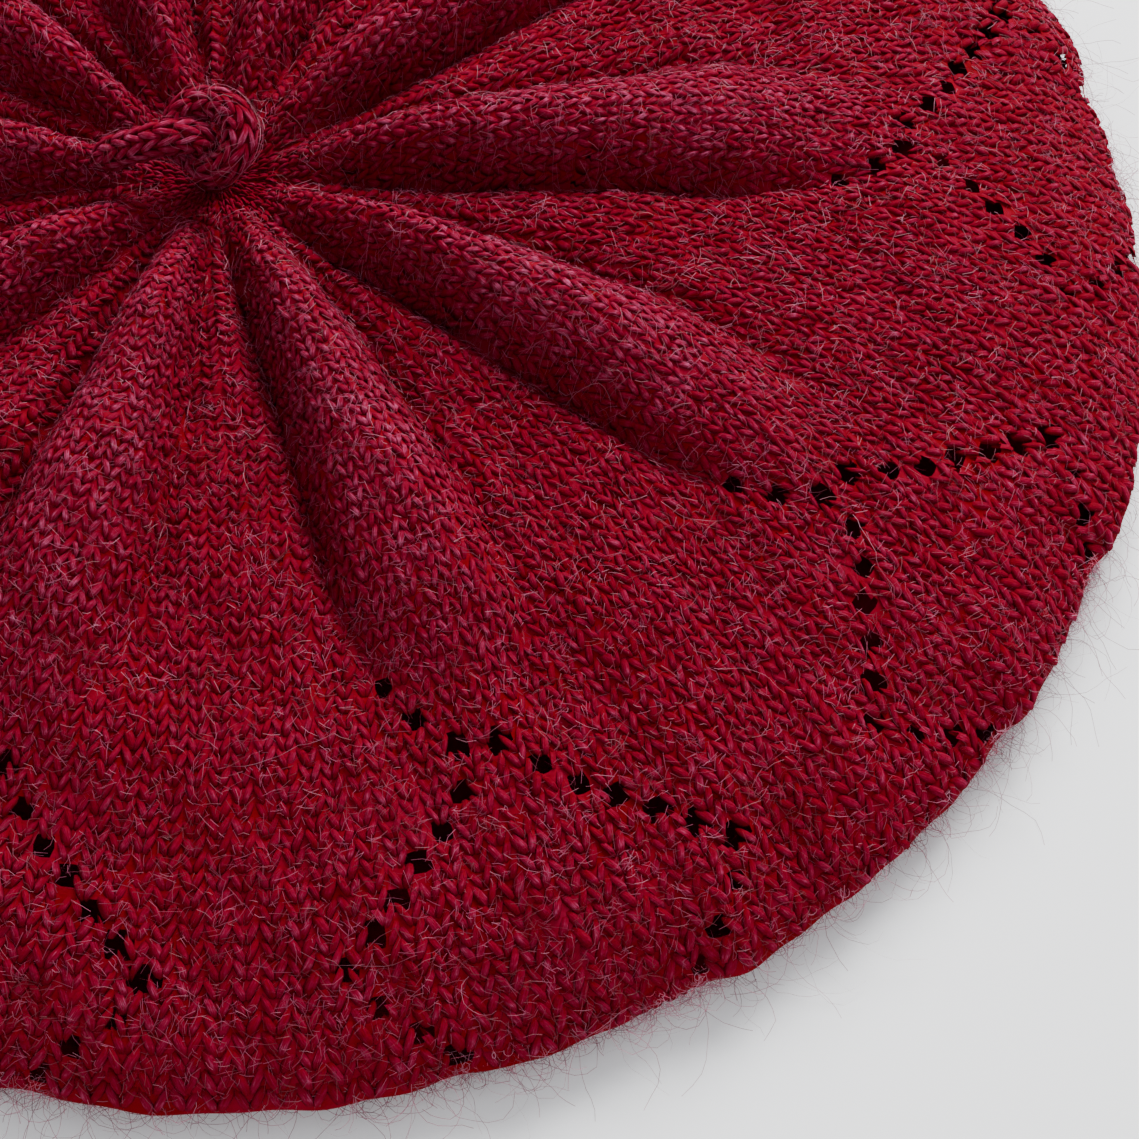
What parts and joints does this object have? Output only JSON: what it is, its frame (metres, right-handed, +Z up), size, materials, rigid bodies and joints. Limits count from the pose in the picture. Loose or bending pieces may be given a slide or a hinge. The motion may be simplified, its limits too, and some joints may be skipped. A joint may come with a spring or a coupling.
{
  "type": "knitted beret",
  "caption": "Round flat hand-knitted wool beret with puffed ridges and eyelet leaves round the crown, a ribbed headband and a knotted cord stalk on top.",
  "frame": {"origin": "centre of the circle that the headband's cast-on edge stands on", "axes": "+Z up through the crown's centre; +X along the axis of crown panel 01, with the stalk's free end towards -X"},
  "size_m": [0.27, 0.27, 0.0426],
  "materials": {
    "stocking_knit": "matte",
    "rib_knit": "matte",
    "cord_knit": "matte"
  },
  "bodies": {
    "band": {"headband": "rib_knit", "cast_on_edge": "rib_knit"},
    "crown": {"crown_underside": "stocking_knit", "crown_panel_01": "stocking_knit", "crown_panel_02": "stocking_knit", "crown_panel_03": "stocking_knit", "crown_panel_04": "stocking_knit", "crown_panel_05": "stocking_knit", "crown_panel_06": "stocking_knit", "crown_panel_07": "stocking_knit", "crown_panel_08": "stocking_knit", "crown_panel_09": "stocking_knit", "crown_panel_10": "stocking_knit"},
    "stalk": {"stalk_root": "cord_knit"},
    "knot": {"stalk_knot": "cord_knit"},
    "stalk_tip": {"stalk_end": "cord_knit"}
  },
  "joints": [
    {"name": "crown_rise", "type": "slide", "parent": "band", "child": "crown", "axis": [0, 0, 1], "range_m": [0, 0.025], "deforming": ["crown_underside"]},
    {"name": "stalk_swivel", "type": "hinge", "parent": "crown", "child": "stalk", "pos_m": [0, 0, 0.025], "axis": [0, 0, 1], "range_deg": [-40, 40]},
    {"name": "knot_lean", "type": "hinge", "parent": "stalk", "child": "knot", "pos_m": [0, 0, 0.0299], "axis": [0, 1, 0], "range_deg": [0, 25]},
    {"name": "tip_lift", "type": "hinge", "parent": "knot", "child": "stalk_tip", "pos_m": [-0.00859, -0.00045, 0.0413], "axis": [-0.0523, 0.9986, 0], "range_deg": [0, 75]}
  ]
}
